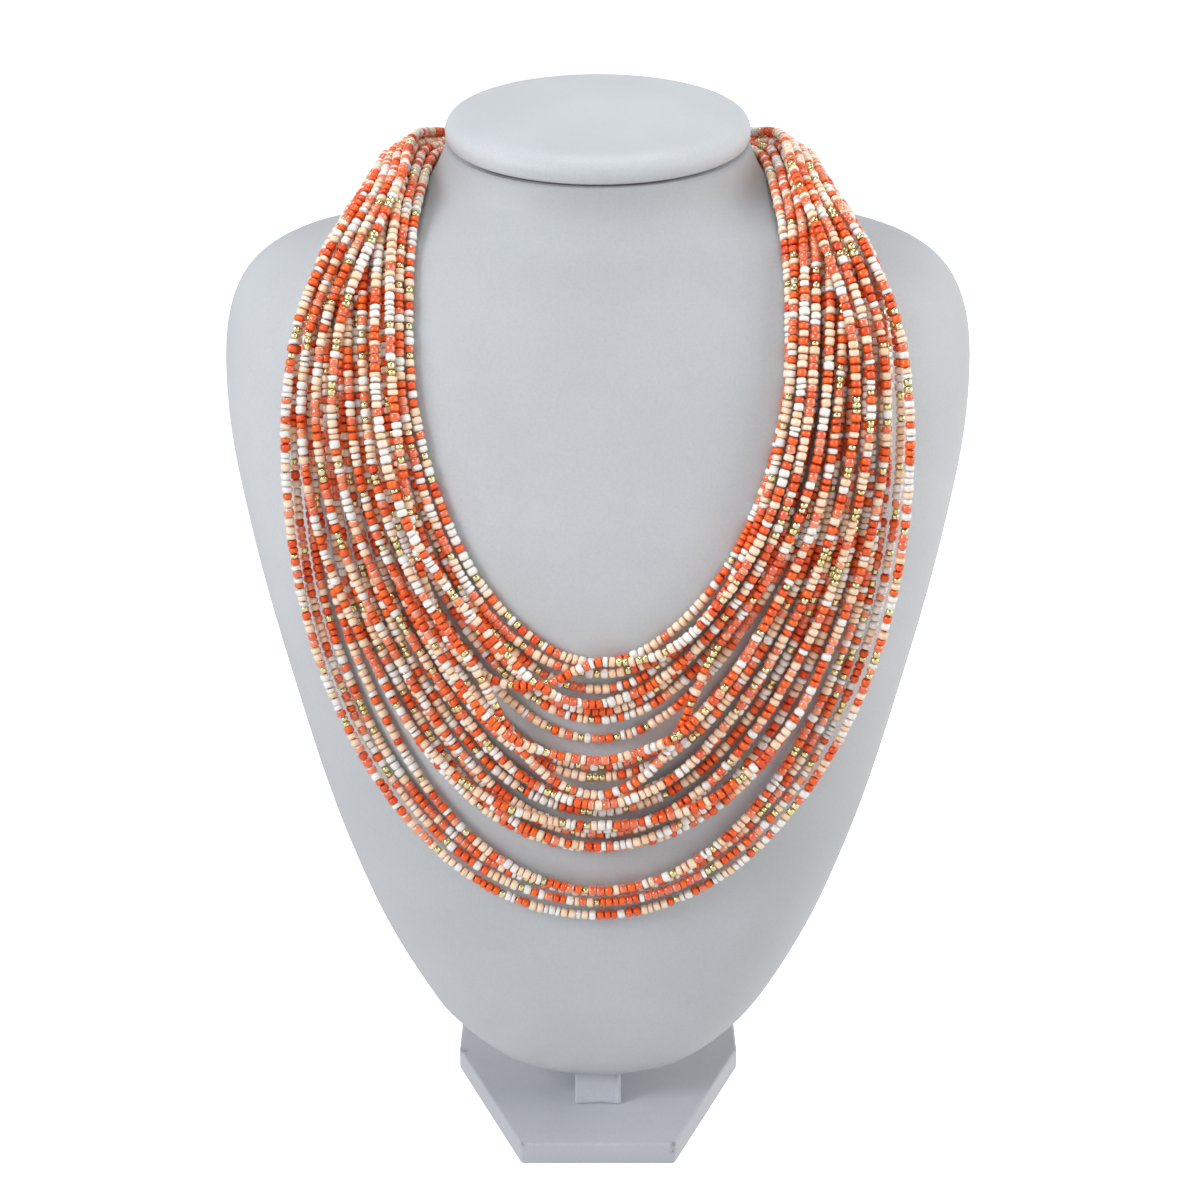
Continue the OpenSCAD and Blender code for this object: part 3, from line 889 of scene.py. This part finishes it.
# %% [markdown]
# ## Thread and maps
# The thread shows only as dark slits between the beads, so a thin five-sided tube will do. A
# string of beads and its thread is one mesh with two maps: one says how far along its bead a point
# lies, and in the other, made for baking, each bead has a square of its own and the
# thread has the strip above them.

# %% Thread
thread_sides = 5
thread_radius = 0.28 * mm
thread_step = 6 * mm
strip_edge = 0.05


def thread_corners(route):
    """The corners of the thread's tube, ring by ring, and the number of its rings."""
    length = reach(route)[-1]
    knots = max(8, int(length / thread_step))
    line = at(np.linspace(0, length, knots), route)
    side, up = across(unit(np.gradient(line, axis=0)))
    turns = (np.arange(thread_sides) / thread_sides * math.tau)[None, :, None]
    around = side[:, None] * np.cos(turns) + up[:, None] * np.sin(turns)
    return (line[:, None] + thread_radius * around).reshape(-1, 3), knots


def thread_skin(first, knots, rows):
    """The thread's faces and their map, which is the top strip of a map with that many rows."""
    sides = thread_sides
    width = (1 - 2 * strip_edge) / sides
    faces, uv = [], []
    for k in range(knots - 1):
        for s in range(sides):
            a, b = first + k * sides + s, first + k * sides + (s + 1) % sides
            faces.append((a, b, b + sides, a + sides))
            left, right = k / (knots - 1), (k + 1) / (knots - 1)
            low, high = ((rows - 1 + strip_edge + (s + step) * width) / rows for step in (0, 1))
            uv += [(left, low), (left, high), (right, high), (right, low)]
    ring = first + np.arange(sides)
    faces += [tuple(ring[::-1]), tuple((knots - 1) * sides + ring)]
    uv += [(end, (rows - 0.5) / rows) for end in (0.0, 1.0) for _ in range(sides)]
    return faces, uv


print("rings of the first string's thread:", thread_corners(first_route)[1])

# %% Join beads and thread
round_angle = math.radians(75)
square_edge = 0.06


def make_string(name, beads, route):
    """Build the mesh of one string, with its materials by face and its two UV maps."""
    count = len(beads)
    columns = math.ceil(math.sqrt(count))
    rows = math.ceil(count / columns) + 1
    points = placed_beads(beads, route)
    faces = bead_faces[None] + np.arange(count)[:, None, None] * len(bead_points)
    tube, knots = thread_corners(route)
    thread_faces, thread_uv = thread_skin(len(points), knots, rows)
    mesh = bpy.data.meshes.new(name)
    mesh.from_pydata(np.vstack([points, tube]).tolist(), [],
                     faces.reshape(-1, 4).tolist() + thread_faces)

    kinds, shades = (np.repeat(beads[:, column], len(bead_faces)) for column in (3, 4))
    kinds = np.concatenate([kinds.astype(int), np.full(len(thread_faces), len(bead_sorts))])
    shades = np.concatenate([shades, np.full(len(thread_faces), 0.5)])
    mesh.polygons.foreach_set("material_index", kinds)
    mesh.attributes.new("bead_shade", "FLOAT", "FACE").data.foreach_set("value", shades)

    cell = np.column_stack([np.arange(count) % columns, np.arange(count) // columns])
    own_uv = np.broadcast_to(bead_uv, (count, *bead_uv.shape))
    squares = (cell[:, None, None] + square_edge + (1 - 2 * square_edge) * own_uv) / (columns, rows)
    for title, bead_part in (("bead", own_uv), ("OFBake", squares)):
        corners = np.concatenate([bead_part.reshape(-1), np.array(thread_uv).reshape(-1)])
        mesh.uv_layers.new(name=title).data.foreach_set("uv", corners)

    string = bpy.data.objects.new(name, mesh)
    bpy.context.scene.collection.objects.link(string)
    pick(string)
    bpy.ops.object.shade_smooth_by_angle(angle=round_angle)
    return string


# %% String the whole necklace
slots = ("beads_orange", "beads_peach", "beads_white", "beads_coral")
bead_count = 0
for number, solid in enumerate(strand_names):
    beads = drawn_beads(reach(routes[solid])[-1], first_seed + number)
    string = make_string(solid.replace("strand", "bead_string"), beads, routes[solid])
    dress(string, solid, slots[number % len(slots)], *string_materials)
    bead_count += len(beads)
print("beads in all:", bead_count)
